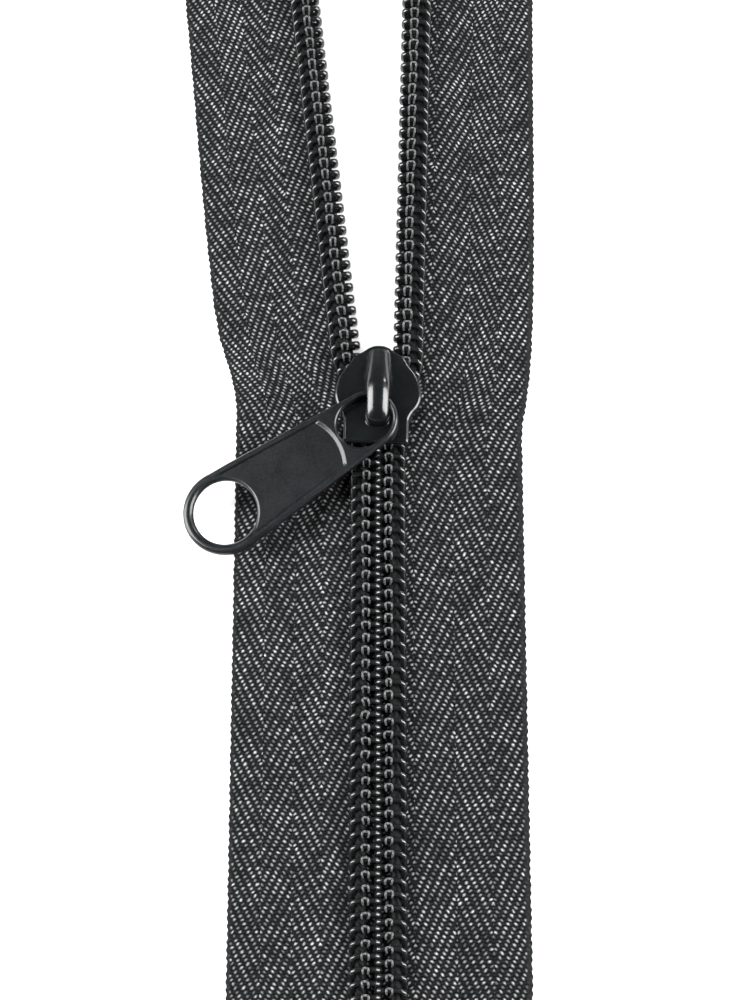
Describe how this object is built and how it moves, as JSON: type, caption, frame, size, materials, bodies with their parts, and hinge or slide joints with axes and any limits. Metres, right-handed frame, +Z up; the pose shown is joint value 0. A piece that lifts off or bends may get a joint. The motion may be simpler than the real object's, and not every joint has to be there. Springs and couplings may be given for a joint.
{
  "type": "zipper",
  "caption": "Coil zipper: two woven tapes with sewn-on interlocking nylon coils, a slider that closes them, a long pull tab with a finger hole, and end stops.",
  "frame": {"origin": "middle of the bottom stop's underside, on the surface the zipper lies on", "axes": "+X across the tapes to the right, +Y along the chain towards the open end, +Z up, coil side up"},
  "size_m": [0.0511, 0.175, 0.0077],
  "materials": {
    "tape": "black herringbone twill polyester tape",
    "coil": "glossy black nylon monofilament",
    "cord": "black spun filler cord",
    "thread": "black polyester sewing thread with a soft sheen",
    "slider": "semi-gloss black enamel on die-cast zinc",
    "pull": "satin dark grey enamel on die-cast zinc",
    "stop": "semi-gloss black enamel on a crimped metal clip"
  },
  "bodies": {
    "chain": {"left_tape_lower": "tape", "left_coil_lower": "coil", "left_filler_cord_lower": "cord", "left_chain_stitch_lower": "thread", "left_needle_thread_lower": "thread", "right_tape_lower": "tape", "right_coil_lower": "coil", "right_filler_cord_lower": "cord", "right_chain_stitch_lower": "thread", "right_needle_thread_lower": "thread", "bottom_stop": "stop"},
    "left_arm": {"left_tape_upper": "tape", "left_coil_upper": "coil", "left_filler_cord_upper": "cord", "left_chain_stitch_upper": "thread", "left_needle_thread_upper": "thread", "left_top_stop": "stop"},
    "right_arm": {"right_tape_upper": "tape", "right_coil_upper": "coil", "right_filler_cord_upper": "cord", "right_chain_stitch_upper": "thread", "right_needle_thread_upper": "thread", "right_top_stop": "stop"},
    "slider": {"slider_body": "slider"},
    "pull": {"pull_tab": "pull"}
  },
  "joints": [
    {"name": "slider_travel", "type": "slide", "parent": "chain", "child": "slider", "axis": [0, 1, 0], "range_m": [0, 0.056]},
    {"name": "left_arm_close", "type": "hinge", "parent": "chain", "child": "left_arm", "pos_m": [0, 0.0588, 0.0014], "axis": [0, 0, 1], "range_deg": [-6.52, 0], "deforming": ["left_tape_upper", "left_coil_upper", "left_filler_cord_upper", "left_chain_stitch_upper", "left_needle_thread_upper"]},
    {"name": "right_arm_close", "type": "hinge", "parent": "chain", "child": "right_arm", "pos_m": [0, 0.004, 0.0014], "axis": [0, 0, 1], "range_deg": [0, 1.57], "deforming": ["right_tape_upper", "right_coil_upper", "right_filler_cord_upper", "right_chain_stitch_upper", "right_needle_thread_upper"]},
    {"name": "pull_tab_lift", "type": "hinge", "parent": "slider", "child": "pull", "pos_m": [0, 0.07268, 0.00606], "axis": [-0.9397, 0.342, 0], "range_deg": [0, 170]}
  ],
  "couplings": [
    {"joint": "left_arm_close", "follows": "slider_travel", "rad_per_m": -2.03},
    {"joint": "right_arm_close", "follows": "slider_travel", "rad_per_m": 0.486}
  ]
}
